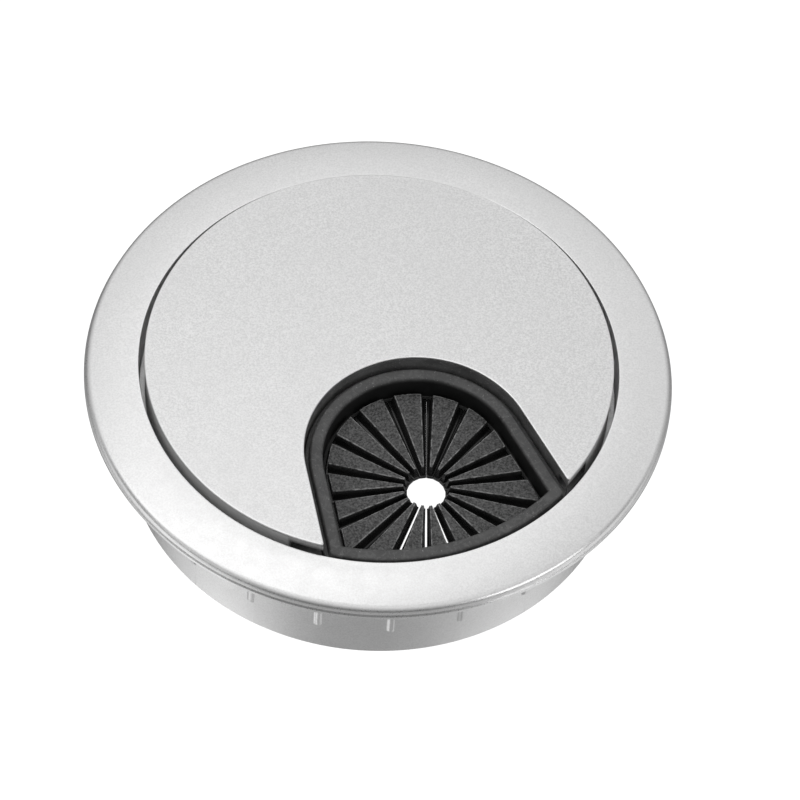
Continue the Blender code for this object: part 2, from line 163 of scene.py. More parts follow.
# Cosines of the angle from there at which a slit starts to open and is fully open
OPENING_SPAN = (0.72, 0.84)
PAD_TOP = PETAL_HIGH.z
PAD_ROOT_GAP = 0.15 * MM
PAD_FOOT_APEX = 1.2 * MM
PAD_TOP_APEX = 2.25 * MM
PAD_FOOT_ANGLE = math.radians(9.2)
PAD_TOP_ANGLE = math.radians(7.85)
PAD_FOOT_TIP = 3.15 * MM
PAD_TOP_TIP = 3.7 * MM
ROOT_TUCK = 0.3 * MM
# Rows along a petal from its root to its tip, and columns across it from side to side
PETAL_ROWS = (0.0, 0.03, 0.07, 0.11, 0.15, 0.20, 0.26, 0.45, 0.65, 0.85, 1.0)
PETAL_COLUMNS = (-1.0, -0.6, 0.0, 0.6, 1.0)
# The skin's edge from its underside up, as (inset, height) in mm
PETAL_SKIN = ((0.12, 0.0), (0.05, 0.01), (0.0, 0.06), (0.0, 0.44), (0.03, 0.48), (0.08, 0.5))
# The pad's flank and top edge, as (inset in mm, share of its height, how grainy, how much painted
# highlight)
PETAL_PAD = (
    (-0.12, 0.0, 0.0, 0.0), (-0.04, 0.03, 0.0, 0.0), (0.0, 0.08, 0.0, 0.0), (0.0, 0.5, 0.0, 0.0),
    (0.0, 0.92, 0.3, 0.0), (0.025, 0.97, 0.6, 0.7), (0.07, 0.993, 1.0, 1.0), (0.13, 1.0, 1.0, 0.7),
    (0.2, 1.0, 1.0, 0.0),
)
UNDERSIDE_GRAIN = 0.6

# Set: a table just under the foot, and a camera about 0.7 m away and 54 degrees above it
TABLE_HALF_WIDTH = 1.5
TABLE_DROP = 0.05 * MM
TABLE_GREY = 0.85
TABLE_GLOW = 1.15
TABLE_GLOW_SHARE = 0.95
CAMERA_LENS = 202.3
CAMERA_SENSOR = 36.0
CAMERA_NEAR = 0.01
CAMERA_PLACE = (0.0, -422.8 * MM, 591.3 * MM)
CAMERA_TARGET = (3.68 * MM, -6.32 * MM, 21.6 * MM)
CAMERA_ROLL = math.radians(4.8)
# Soft boxes: name, azimuth, elevation, distance, width, height, radiance
SOFT_BOXES = (
    ("top_box", -40.0, 74.0, 0.4, 0.27, 0.18, 1.06),
    ("left_box", -100.0, 50.0, 0.4, 0.18, 0.22, 0.85),
    ("low_left_box", -125.0, 18.0, 0.9, 0.5, 0.3, 0.6),
    ("low_right_box", 125.0, 18.0, 0.9, 0.5, 0.3, 2.2),
)
# How bright the surround is at a height on the unit sphere, from 0 at the horizon to 1 overhead
SURROUND_BACK = ((0.0, 0.5), (0.3, 0.55), (0.55, 0.8), (0.75, 0.95), (0.88, 0.6), (1.0, 0.55))
SURROUND_FRONT = ((0.0, 0.0), (0.3, 0.15), (0.55, 0.45), (0.75, 0.65), (0.88, 0.85), (1.0, 1.0))
# How bright it is below the horizon, once round from the back (0) past the left, the front (0.5)
# and the right
SURROUND_BELOW = (
    (0.0, 0.15), (0.17, 0.2), (0.25, 0.8), (0.31, 1.15), (0.36, 0.8), (0.43, 0.35),
    (0.57, 0.35), (0.64, 0.6), (0.69, 0.85), (0.75, 0.85), (0.83, 0.3), (1.0, 0.15),
)
SURROUND_TURNOVER = 0.35
HORIZON_BLUR = 0.1


# ---------------------------------------------------------------- mesh tools

def smooth_step(value, start, end):
    """0 before start, 1 after end, smooth between them."""
    share = min(max((value - start) / (end - start), 0.0), 1.0)
    return share * share * (3.0 - 2.0 * share)


def arc(centre_x, centre_y, radius, start, end, steps):
    """Points on an arc, both ends included."""
    points = []
    for step in range(steps + 1):
        angle = start + (end - start) * step / steps
        x = centre_x + radius * math.cos(angle)
        y = centre_y + radius * math.sin(angle)
        points.append((x, y))
    return points


def rounded(corners, steps):
    """A closed polygon of (x, y, fillet radius) corners, with each fillet as an arc."""
    points = []
    for index, (x, y, radius) in enumerate(corners):
        here = Vector((x, y))
        back = (Vector(corners[index - 1][:2]) - here).normalized()
        ahead = (Vector(corners[(index + 1) % len(corners)][:2]) - here).normalized()
        if radius <= 0.0:
            points.append((x, y))
            continue
        half = back.angle(ahead) / 2.0
        centre = here + (back + ahead).normalized() * (radius / math.sin(half))
        first = here + back * (radius / math.tan(half)) - centre
        last = here + ahead * (radius / math.tan(half)) - centre
        start = math.atan2(first.y, first.x)
        turn = math.atan2(first.x * last.y - first.y * last.x, first.dot(last))
        points += arc(centre.x, centre.y, radius, start, start + turn, steps)
    return points


def clean(bm):
    """Merge points that coincide, dissolve faces that have no area and turn the rest outwards."""
    bmesh.ops.remove_doubles(bm, verts=bm.verts, dist=CLEAN_REACH)
    bmesh.ops.dissolve_degenerate(bm, dist=CLEAN_REACH, edges=bm.edges)
    bmesh.ops.recalc_face_normals(bm, faces=bm.faces)


def finish_mesh(name, bm, sharp_angle=SHARP_ANGLE):
    """Turn a bmesh into a smooth-shaded object with outward faces."""
    clean(bm)
    mesh = bpy.data.meshes.new(name)
    bm.to_mesh(mesh)
    bm.free()
    mesh.shade_smooth()
    mesh.set_sharp_from_angle(angle=sharp_angle)
    piece = bpy.data.objects.new(name, mesh)
    bpy.context.scene.collection.objects.link(piece)
    return piece


def bridge(bm, first, second):
    """Quads between two closed rows of the same length."""
    count = len(first)
    for step in range(count):
        after = (step + 1) % count
        bm.faces.new((first[step], first[after], second[after], second[step]))


def stack(bm, rows, capped=True):
    """Loft closed rows of points one after another, with a face over each end if it is capped."""
    made = [[bm.verts.new(point) for point in row] for row in rows]
    for first, second in zip(made, made[1:]):
        bridge(bm, first, second)
    if capped:
        bm.faces.new(made[0])
        bm.faces.new(made[-1])
    return made


def weigh(layer, rows, weights):
    """Write a weight on the vertices of each row, for a material to read."""
    for row, weight in zip(rows, weights):
        for vertex in row:
            vertex[layer] = weight


def soften_flats(piece):
    """Weight normals by face area, so that flat faces stay flat beside their fillets."""
    weighted = piece.modifiers.new("flat_faces", "WEIGHTED_NORMAL")
    weighted.keep_sharp = True
    weighted.weight = FLAT_FACE_WEIGHT


def as_tool(piece):
    """Keep a helper object out of the picture and of the model."""
    piece.hide_render = True
    piece.hide_viewport = True
    piece.display_type = "WIRE"
    return piece


def bake(piece):
    """Replace an object's mesh with its evaluated one and drop its modifiers."""
    bpy.context.view_layer.update()
    graph = bpy.context.evaluated_depsgraph_get()
    mesh = bpy.data.meshes.new_from_object(piece.evaluated_get(graph))
    bm = bmesh.new()
    bm.from_mesh(mesh)
    clean(bm)
    bm.to_mesh(mesh)
    bm.free()
    piece.modifiers.clear()
    piece.data = mesh


# ---------------------------------------------------------------- outlines

def leg_fillet(radius, reach):
    """The centre of a circle that touches the cut-out's upper leg, a reach from the lid's axis."""
    side = Vector((-math.sin(LEG_FLARE), math.cos(LEG_FLARE)))
    along = Vector((math.cos(LEG_FLARE), math.sin(LEG_FLARE)))
    start = Vector((OPENING_CENTRE, 0.0)) + side * radius
    half = start.dot(along)
    run = -half + math.sqrt(half * half - start.dot(start) + reach * reach)
    return start + along * run


def opening_outline(inset, front_radius, corner):
    """The cut-out drawn in by an inset and closed in front by an arc about the lid's axis."""
    radius = OPENING_RADIUS - inset
    fillet = leg_fillet(radius - corner, front_radius - corner)
    front_angle = math.atan2(fillet.y, fillet.x)
    leg_angle = math.pi / 2.0 + LEG_FLARE
    far_leg_angle = 2.0 * math.pi - leg_angle
    points = arc(fillet.x, -fillet.y, corner, -leg_angle, -front_angle, CUT_OUT_CORNER_STEPS)
    points += arc(0.0, 0.0, front_radius, -front_angle, front_angle, CUT_OUT_FRONT_STEPS)[1:-1]
    points += arc(fillet.x, fillet.y, corner, front_angle, leg_angle, CUT_OUT_CORNER_STEPS)
    points += arc(OPENING_CENTRE, 0.0, radius, leg_angle, far_leg_angle, CUT_OUT_STEPS)
    return points


def seal_outline(inset):
    """The seal's outline at an inset from the cut-out, with the same wall in front as aside."""
    drawn_in = max(inset - SEAL_RIM_OUTSET, 0.0)
    corner = max(SEAL_CORNER - drawn_in, SHARPEST_CORNER)
    return opening_outline(inset, SEAL_FRONT_RADIUS - drawn_in, corner)


def horseshoe_outline(radius, inset, opening_inset, corner):
    """The lid's outline: a circle less the cut-out, both drawn into the material."""
    outer = radius - inset
    bite = OPENING_RADIUS + opening_inset
    fillet = leg_fillet(bite + corner, outer - corner)
    turn = math.atan2(fillet.y, fillet.x)
    leg = math.pi / 2.0 - LEG_FLARE
    points = arc(fillet.x, fillet.y, corner, -leg, turn, LID_CORNER_STEPS)
    points += arc(0.0, 0.0, outer, turn, 2.0 * math.pi - turn, LID_RIM_STEPS)[1:-1]
    points += arc(fillet.x, -fillet.y, corner, -turn, leg, LID_CORNER_STEPS)
    points += arc(OPENING_CENTRE, 0.0, bite, leg - math.pi, -leg - math.pi, CUT_OUT_STEPS)
    return points


def at_height(points, height):
    """Flat points lifted to a height."""
    return [(x, y, height) for x, y in points]


# ---------------------------------------------------------------- trim ring

def rib_columns():
    """Columns round the ring as (azimuth, half rib widths from a rib), closest over the ribs."""
    pitch = 2.0 * math.pi / RIB_COUNT
    flank = RIB_WIDTH / 2.0 / SKIRT_RADIUS
    near = [flank * share for share in RIB_COLUMNS]
    gap = pitch - near[-1] + near[0]
    far = [near[-1] + gap * step / STEPS_BETWEEN_RIBS for step in range(1, STEPS_BETWEEN_RIBS)]
    columns = []
    for index in range(RIB_COUNT):
        middle = pitch * (index + RIB_PHASE)
        columns += [(middle + offset, offset / flank) for offset in near + far]
    return columns


def rib_height(across, height):
    """How far a rib stands out of the skirt, with a gentle flank before its crest."""
    flank = smooth_step(across, *RIB_GENTLE_FLANK) * (1.0 - smooth_step(across, *RIB_STEEP_FLANK))
    foot = smooth_step(height, RIB_FOOT - 0.1 * MM, RIB_FOOT + 0.5 * MM)
    root = 1.0 - smooth_step(height, FLANGE_UNDERSIDE - 0.3 * MM, FLANGE_UNDERSIDE)
    return RIB_PROUD * flank * foot * root


def flange_crown():
    """The flange's top, an arc that is level at the bore, and the fillet that runs on from it."""
    start = BORE_RADIUS + BORE_MARGIN
    wall = FLANGE_RADIUS - FLANGE_DRAFT
    span = wall - start
    crown_radius = (span * span + FLANGE_CROWN * FLANGE_CROWN) / (2.0 * FLANGE_CROWN)
    lean = math.asin((span - FLANGE_FILLET) / (crown_radius - FLANGE_FILLET))
    join = math.pi / 2.0 - lean
    crown_centre = FLANGE_TOP - crown_radius
    fillet_centre = crown_centre + (crown_radius - FLANGE_FILLET) * math.cos(lean)
    points = arc(start, crown_centre, crown_radius, math.pi / 2.0, join, CROWN_STEPS)[:-1]
    points += arc(wall - FLANGE_FILLET, fillet_centre, FLANGE_FILLET, join, 0.0, EDGE_FILLET_STEPS)
    return points


def ring_profile():
    """The ring's section as (radius, height), from the bore's top edge outwards and down."""
    lip_top = FLANGE_UNDERSIDE + FLANGE_LIP
    corners = [(BORE_RADIUS, FLANGE_TOP, 0.12 * MM)]
    corners += [(radius, height, 0.0) for radius, height in flange_crown()]
    corners += [
        (FLANGE_RADIUS - FLANGE_DRAFT, lip_top + LIP_STEP_ABOVE, 0.0),
        (FLANGE_RADIUS, lip_top - LIP_STEP_BELOW, 0.08 * MM),
        (FLANGE_RADIUS, FLANGE_UNDERSIDE, 0.05 * MM),
        (SKIRT_RADIUS, FLANGE_UNDERSIDE, 0.3 * MM),
    ]
    corners += [(SKIRT_RADIUS, height * MM, 0.0) for height in SKIRT_ROWS]
    corners += [
        (SKIRT_RADIUS, RING_LOW.z, 0.4 * MM),
        (BORE_RADIUS, RING_LOW.z, 0.3 * MM),
        (BORE_RADIUS, LEDGE_UNDERSIDE, 0.2 * MM),
        (LEDGE_RADIUS, LEDGE_UNDERSIDE, 0.25 * MM),
        (LEDGE_RADIUS, LEDGE_TOP, 0.25 * MM),
        (BORE_RADIUS, LEDGE_TOP, 0.2 * MM),
    ]
    return rounded(corners, RING_CORNER_STEPS)


def ring_wear_and_highlight(radius, height):
    """How rubbed the ring is, with a painted highlight, at the flange's and bore's edges and at the
    foot.
    """
    rim = smooth_step(radius, FLANGE_RADIUS - FLANGE_FILLET, FLANGE_RADIUS - 0.5 * MM)
    bore = 1.0 - smooth_step(radius, BORE_RADIUS + 0.05 * MM, BORE_RADIUS + 0.5 * MM)
    foot = 1.0 - smooth_step(height, 0.2 * MM, 0.8 * MM)
    if height > FLANGE_UNDERSIDE:
        return max(rim, bore * smooth_step(height, FLANGE_TOP - 0.6 * MM, FLANGE_TOP - 0.1 * MM))
    return foot


def build_ring():
    """Trim ring as one quad grid round the axis, its ribs raised out of the skirt."""
    profile = ring_profile()
    bm = bmesh.new()
    wear_and_highlight = bm.verts.layers.float.new("wear_and_highlight")
    columns = []
    for azimuth, across in rib_columns():
        column = []
        for radius, height in profile:
            on_skirt = SKIRT_RADIUS - 0.5 * MM < radius < SKIRT_RADIUS + 0.4 * MM
            if on_skirt and height > RING_LOW.z + MM:
                radius = max(radius, SKIRT_RADIUS + rib_height(across, height))
            x = radius * math.cos(azimuth)
            y = radius * math.sin(azimuth)
            column.append(bm.verts.new((x, y, height)))
        columns.append(column)
    for index, column in enumerate(columns):
        bridge(bm, column, columns[(index + 1) % len(columns)])
    # Rubbed edges and foot, which the material also paints brighter as a highlight
    weigh(wear_and_highlight, zip(*columns), [ring_wear_and_highlight(*point) for point in profile])
    ring = finish_mesh("trim_ring", bm)
    soften_flats(ring)
    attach(ring, "ring")
    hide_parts("ring")
    return ring


# ---------------------------------------------------------------- lid

def place_on_lid(piece):
    """Turn a lid piece's mesh to the cut-out's azimuth and let it ride on the lid."""
    piece.data.transform(Matrix.Rotation(LID_AZIMUTH, 4, "Z"))
    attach(piece, "lid")


def build_cover():
    """Thin cover plate with softly broken edges."""
    low = COVER_LOW.z
    high = COVER_HIGH.z
    # Inset in mm, height, and how rubbed it is there, which also paints a highlight on the edge
    levels = [
        (0.30, low, 0.0), (0.08, low, 0.0),
        (0.02, low + 0.03 * MM, 0.0), (0.0, low + 0.08 * MM, 0.0),
        (0.0, high - 0.14 * MM, 0.5), (0.02, high - 0.07 * MM, 1.0),
        (0.07, high - 0.02 * MM, 1.0), (0.14, high, 0.8), (0.30, high, 0.35), (0.60, high, 0.0),
    ]
    rows = []
    for inset, height, _ in levels:
        outline = horseshoe_outline(COVER_RADIUS, inset * MM, inset * MM, COVER_CORNER)
        rows.append(at_height(outline, height))
    bm = bmesh.new()
    wear_and_highlight = bm.verts.layers.float.new("wear_and_highlight")
    # Rubbed edges, which the material also paints brighter as a highlight
    weigh(wear_and_highlight, stack(bm, rows), [amount for _, _, amount in levels])
    cover = finish_mesh("cover_disc", bm)
    soften_flats(cover)
    place_on_lid(cover)
    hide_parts("cover_plate")
    return cover


def carrier_shell():
    """The carrier's plate, side wall and collar, hollow from below."""
    low = CARRIER_FOOT
    high = CARRIER_HIGH.z
    ceiling = high - CARRIER_PLATE
    wall = CARRIER_WALL
    collar = COLLAR_WALL
    edge = CARRIER_EDGE
    # Inset from the rim, inset from the cut-out, and height
    levels = [
        (3 * edge, 3 * edge, high), (edge, edge, high), (0.03 * MM, 0.03 * MM, high - 0.03 * MM),
        (0.0, 0.0, high - edge), (0.0, 0.0, low + edge), (edge, edge, low),
        (wall - edge, collar - edge, low), (wall, collar, low + edge),
        (wall, collar, ceiling - 2 * edge), (wall + 2 * edge, collar + 2 * edge, ceiling),
    ]
    rows = []
    for inset, opening_inset, height in levels:
        outline = horseshoe_outline(CARRIER_RADIUS, inset, opening_inset, CARRIER_CORNER)
        rows.append(at_height(outline, height))
    bm = bmesh.new()
    cavity_shade = bm.verts.layers.float.new("cavity_shade")
    side = bm.verts.layers.float.new("side")
    made = stack(bm, rows)
    # Rows inside the shell get a painted shade that turns them near black
    weigh(cavity_shade, made, [float(index >= CARRIER_OUTER_ROWS) for index in range(len(rows))])
    for vertex in [vertex for row in made[:CARRIER_OUTER_ROWS] for vertex in row]:
        if math.hypot(vertex.co.x, vertex.co.y) > CARRIER_RADIUS - 0.02 * MM:
            vertex[side] = 1.0
    return finish_mesh("carrier_moulding", bm)


def shelf_tool():
    """The shelf that the seal stands on, closed across the cut-out's mouth."""
    low = CARRIER_FOOT + 0.05 * MM
    high = SHELF_TOP
    edge = CARRIER_EDGE
    front = CARRIER_RADIUS - CARRIER_WALL
    outer = opening_outline(-COLLAR_WALL / 2.0, CARRIER_RADIUS - 0.05 * MM, SHELF_CORNER)
    eased = opening_outline(SHELF_WIDTH - edge, front + edge, SHELF_CORNER)
    inner = opening_outline(SHELF_WIDTH, front, SHELF_CORNER)
    rows = [
        at_height(outer, low), at_height(outer, high),
        at_height(eased, high), at_height(inner, high - edge),
        at_height(inner, low + edge), at_height(eased, low),
    ]
    bm = bmesh.new()
    made = stack(bm, rows, capped=False)
    bridge(bm, made[-1], made[0])
    return as_tool(finish_mesh("shelf_tool", bm))


def hooks_tool():
    """Four snap hooks with eased edges."""
    plate_middle = CARRIER_HIGH.z - CARRIER_PLATE / 2.0
    wall_middle = CARRIER_RADIUS - CARRIER_WALL / 2.0
    wall_foot = CARRIER_FOOT + 0.5 * MM
    corners = [
        (HOOK_INNER, HOOK_FOOT, 0.15 * MM),
        (HOOK_OUTER - 0.2 * MM, HOOK_FOOT, 0.15 * MM),
        (HOOK_BARB, HOOK_BARB_TOP - 0.5 * MM, 0.12 * MM),
        (HOOK_BARB, HOOK_BARB_TOP, 0.08 * MM),
        (HOOK_OUTER, HOOK_BARB_TOP, 0.1 * MM),
        (HOOK_OUTER, wall_foot, 0.0),
        (wall_middle, wall_foot, 0.0),
        (wall_middle, plate_middle, 0.0),
        (HOOK_INNER, plate_middle, 0.0),
    ]
    profile = rounded(corners, HOOK_CORNER_STEPS)
    bm = bmesh.new()
    half = HOOK_WIDTH / 2.0
    for azimuth in HOOK_AZIMUTHS:
        turn = Matrix.Rotation(azimuth, 3, "Z")
        rows = []
        for across in (-half, half):
            rows.append([turn @ Vector((radius, across, height)) for radius, height in profile])
        stack(bm, rows)
    return as_tool(finish_mesh("hooks_tool", bm))


def windows_tool():
    """The two windows through the side wall."""
    bm = bmesh.new()
    middle = (SLOT_TOP + SLOT_FOOT) / 2.0
    for side in (-1.0, 1.0):
        box = bmesh.ops.create_cube(bm, size=1.0)["verts"]
        bmesh.ops.scale(bm, verts=box, vec=(3.0 * CARRIER_WALL, SLOT_LENGTH, SLOT_TOP - SLOT_FOOT))
        bmesh.ops.translate(bm, verts=box, vec=(CARRIER_RADIUS, 0.0, middle))
        turn = Matrix.Rotation(side * SLOT_AZIMUTH, 3, "Z")
        bmesh.ops.rotate(bm, verts=box, cent=(0.0, 0.0, 0.0), matrix=turn)
    return as_tool(finish_mesh("windows_tool", bm))


def build_carrier():
    """Black moulding under the cover plate."""
    carrier = carrier_shell()
    tools = [(shelf_tool(), "UNION"), (hooks_tool(), "UNION"), (windows_tool(), "DIFFERENCE")]
    for tool, operation in tools:
        modifier = carrier.modifiers.new(tool.name, "BOOLEAN")
        modifier.operation = operation
        modifier.object = tool
        modifier.solver = "EXACT"
    bake(carrier)
    for tool, _ in tools:
        bpy.data.objects.remove(tool, do_unlink=True)
    carrier.data.shade_smooth()
    carrier.data.set_sharp_from_angle(angle=SHARP_ANGLE)
    soften_flats(carrier)
    place_on_lid(carrier)
    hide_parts("lid_carrier")
    return carrier


# ---------------------------------------------------------------- seal

def seal_section():
    """The seal's wall once round, as (inset, height)."""
    foot_step = SEAL_RIM_INSET - SEAL_FOOT_STEP
    corners = [
        (SEAL_SIDE_GAP, RIM_LOW.z, 0.15 * MM),
        (SEAL_SIDE_GAP, SEAL_SHOULDER_TOP, 0.15 * MM),
        (SEAL_RIM_OUTSET - 0.1 * MM, SEAL_SHOULDER_TOP, 0.1 * MM),
        (SEAL_RIM_OUTSET, RIM_HIGH.z, SEAL_RIM_ROUND),
        (SEAL_RIM_INSET, RIM_HIGH.z, SEAL_RIM_ROUND),
        (SEAL_RIM_INSET, RIM_HIGH.z - SEAL_WELL_DEPTH, 0.0),
        (SEAL_RIM_INSET, WEB_TOP, 0.2 * MM),
        (WEB_INSET, WEB_TOP, 0.05 * MM),
        (WEB_INSET, WEB_UNDERSIDE, 0.05 * MM),
        (foot_step, WEB_UNDERSIDE, 0.1 * MM),
        (foot_step - SEAL_FOOT_DRAFT, RIM_LOW.z, 0.05 * MM),
    ]
    return rounded(corners, SEAL_CORNER_STEPS)


def well_shade_share(inset, height):
    """Painted shade: 1 on the rim's inner wall, down in the well of the seal, and 0 on its crown
    and outside.
    """
    inside = smooth_step(inset, SEAL_RIM_INSET - 0.2 * MM, SEAL_RIM_INSET)
    crown = smooth_step(height, RIM_HIGH.z - SEAL_WELL_DEPTH, RIM_HIGH.z - 0.3 * MM)
    return inside * (1.0 - crown)


def build_seal_rim():
    """Rubber rim, lofted round the cut-out."""
    section = seal_section()
    rows = [at_height(seal_outline(inset), height) for inset, height in section]
    bm = bmesh.new()
    well_shade = bm.verts.layers.float.new("well_shade")
    made = stack(bm, rows, capped=False)
    bridge(bm, made[-1], made[0])
    # The rim's inner wall carries a painted shade that turns it near black
    weigh(well_shade, made, [well_shade_share(*point) for point in section])
    rim = finish_mesh("seal_surround", bm)
    soften_flats(rim)
    place_on_lid(rim)
    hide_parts("seal_rim")
    return rim


def cast(origin, angle, outline):
    """Where a ray from inside a flat outline meets it."""
    ray = Vector((math.cos(angle), math.sin(angle)))
    best = None
    for index, first in enumerate(outline):
        first = Vector(first)
        edge = Vector(outline[(index + 1) % len(outline)]) - first
        slope = ray.cross(edge)
        if abs(slope) < PARALLEL:
            continue
        distance = (first - origin).cross(edge) / slope
        share = (first - origin).cross(ray) / slope
        if distance > 0.0 and -SLACK <= share <= 1.0 + SLACK:
            best = distance if best is None else min(best, distance)
    return origin + ray * best


def slit_width(direction):
    """Slits that point to the front have been stretched by cables. Others are nearly closed."""
    opened = smooth_step(math.cos(direction - OPENED_TOWARDS), *OPENING_SPAN)
    return SLIT_CLOSED + (SLIT_OPENED - SLIT_CLOSED) * opened


def petal_grid(middle, apex, half_angle, tip, outline, height, aside=0.0):
    """Rows of points from a petal's root to its tip, each from one side to the other.

    The petal points along the angle middle. Its sides run from the outline towards an apex beyond
    its tip, half_angle to each side. It may lie a little aside, where its two slits differ.
    """
    centre = Vector((PETAL_CENTRE, 0.0))
    heading = Vector((math.cos(middle), math.sin(middle)))
    side = Vector((-heading.y, heading.x))
    centre += side * aside
    origin = centre + heading * apex
    half_tip = (tip - apex) * math.tan(half_angle)
    columns = []
    for across in PETAL_COLUMNS:
        root = cast(origin, middle + half_angle * across, outline)
        end = centre + heading * tip + side * half_tip * across
        columns.append([root.lerp(end, share) for share in PETAL_ROWS])
    return [[(point.x, point.y, height) for point in row] for row in zip(*columns)]


def petal_levels(middle):
    """A petal's grids from its underside to its pad's top, with how grainy each is and its painted
    highlight.
    """
    half = math.pi / PETAL_COUNT
    before = slit_width(middle - half)
    after = slit_width(middle + half)
    slit_apex = (before + after) / 4.0 / math.sin(half)
    aside = (before - after) / 4.0 / math.cos(half)
    levels = []
    for inset, height in PETAL_SKIN:
        inset *= MM
        outline = seal_outline(WEB_INSET - ROOT_TUCK + inset)
        apex = slit_apex + inset / math.sin(half)
        tip = PETAL_HOLE + inset
        grid = petal_grid(middle, apex, half, tip, outline, PETAL_LOW.z + height * MM, aside)
        levels.append((grid, 0.0, 0.0))
    for inset, share, grain, edge_highlight in PETAL_PAD:
        inset *= MM
        angle = PAD_FOOT_ANGLE + (PAD_TOP_ANGLE - PAD_FOOT_ANGLE) * share
        apex = PAD_FOOT_APEX + (PAD_TOP_APEX - PAD_FOOT_APEX) * share + inset / math.sin(angle)
        tip = PAD_FOOT_TIP + (PAD_TOP_TIP - PAD_FOOT_TIP) * share + inset
        outline = seal_outline(WEB_INSET + PAD_ROOT_GAP + max(inset, 0.0))
        height = WEB_TOP + (PAD_TOP - WEB_TOP) * share
        levels.append((petal_grid(middle, apex, angle, tip, outline, height), grain, edge_highlight))
    return levels


def perimeter(grid):
    """The outline of a grid, once round."""
    last = len(grid[0]) - 1
    points = list(grid[0])
    points += [row[last] for row in grid[1:]]
    points += list(reversed(grid[-1]))[1:]
    points += [row[0] for row in reversed(grid[1:-1])]
    return points


def fill_grid(bm, grid, border):
    """A grid of quads whose outline uses vertices that are already there."""
    ring = dict(zip([tuple(point) for point in perimeter(grid)], border))
    made = []
    for row in grid:
        made.append([ring.get(tuple(point)) or bm.verts.new(point) for point in row])
    for first, second in zip(made, made[1:]):
        for step in range(len(first) - 1):
            bm.faces.new((first[step], first[step + 1], second[step + 1], second[step]))
    return made


def build_petal(index):
    """One petal: a thin skin with a grainy pad, its rows close together at the root."""
    name = f"petal_{index + 1:02d}"
    middle = 2.0 * math.pi * (index + 0.5) / PETAL_COUNT
    levels = petal_levels(middle)
    bm = bmesh.new()
    grain = bm.verts.layers.float.new("grain")
    edge_highlight = bm.verts.layers.float.new("edge_highlight")
    rings = stack(bm, [perimeter(grid) for grid, _, _ in levels], capped=False)
    under_rows = fill_grid(bm, levels[0][0], rings[0])
    pad_rows = fill_grid(bm, levels[-1][0], rings[-1])
    weigh(grain, rings, [amount for _, amount, _ in levels])
    weigh(grain, under_rows, [UNDERSIDE_GRAIN] * len(under_rows))
    weigh(grain, pad_rows, [1.0] * len(pad_rows))
    # Painted highlight along the pad's top edge
    weigh(edge_highlight, rings, [amount for _, _, amount in levels])
    petal = finish_mesh(name, bm, PETAL_SHARP_ANGLE)
    petal.data.transform(Matrix.Rotation(LID_AZIMUTH, 4, "Z"))
    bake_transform(petal)
    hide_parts(f"seal_{name}")
    return petal


# ---------------------------------------------------------------- materials

class Nodes:
    """A short way to write the node tree of a material, or of the world."""

    def __init__(self, owner, shader="Principled BSDF", place="Object"):
        owner.use_nodes = True
        self.owner = owner
        self.tree = owner.node_tree
        self.shader = self.tree.nodes[shader]
        self.position = self.add("ShaderNodeTexCoord").outputs[place]

    def add(self, kind, inputs=None, **settings):
        """Make a node, set its properties and fill or link its inputs."""
        node = self.tree.nodes.new(kind)
        for key, value in settings.items():
            setattr(node, key, value)
        for key, value in (inputs or {}).items():
            self.put(node.inputs[key], value)
        return node

    def put(self, socket, value):
        """Link an output to a socket, or set the socket's own value."""
        if isinstance(value, bpy.types.NodeSocket):
            self.tree.links.new(value, socket)
        else:
            socket.default_value = value

    def noise(self, size, detail=2.0, roughness=0.5, distortion=0.0):
        """Noise whose features are about this size."""
        values = {"Vector": self.position, "Scale": 1.0 / size, "Detail": detail,
                  "Roughness": roughness, "Distortion": distortion}
        return self.add("ShaderNodeTexNoise", values).outputs["Fac"]

    def remap(self, value, from_low, from_high, to_low, to_high):
        """Map a value from one range to another, clamped."""
        values = {"Value": value, "From Min": from_low, "From Max": from_high,
                  "To Min": to_low, "To Max": to_high}
        return self.add("ShaderNodeMapRange", values, clamp=True).outputs["Result"]

    def ramp(self, value, stops):
        """Read a value off a line through (place, level) stops, with places from 0 to 1."""
        node = self.add("ShaderNodeValToRGB", {"Fac": value})
        for _ in stops[2:]:
            node.color_ramp.elements.new(1.0)
        for element, (place, level) in zip(node.color_ramp.elements, stops):
            element.position = place
            element.color = grey(level)
        return node.outputs["Color"]

    def split(self):
        """The position's X, Y and Z."""
        return self.add("ShaderNodeSeparateXYZ", {"Vector": self.position}).outputs

    def math(self, operation, first, second):
        """One arithmetic step."""
        return self.add("ShaderNodeMath", {0: first, 1: second}, operation=operation).outputs[0]

    def mix(self, share, first, second):
        """Mix two colours."""
        node = self.add("ShaderNodeMix", data_type="RGBA")
        self.put(node.inputs["Factor"], share)
        self.put(node.inputs[6], first)
        self.put(node.inputs[7], second)
        return node.outputs[2]

    def attribute(self, name):
        """A value painted on the mesh."""
        return self.add("ShaderNodeAttribute", attribute_name=name).outputs["Fac"]

    def bump(self, height, strength, distance):
        """Bump from a height."""
        values = {"Height": height, "Strength": strength, "Distance": distance}
        return self.add("ShaderNodeBump", values).outputs["Normal"]

    def set(self, name, value):
        """Set or link one of the shader's sockets."""
        self.put(self.shader.inputs[name], value)


def grey(level):
    """An opaque grey."""
    return (level, level, level, 1.0)


def new_nodes(name):
    """The node tree of a new material."""
    return Nodes(bpy.data.materials.new(name))


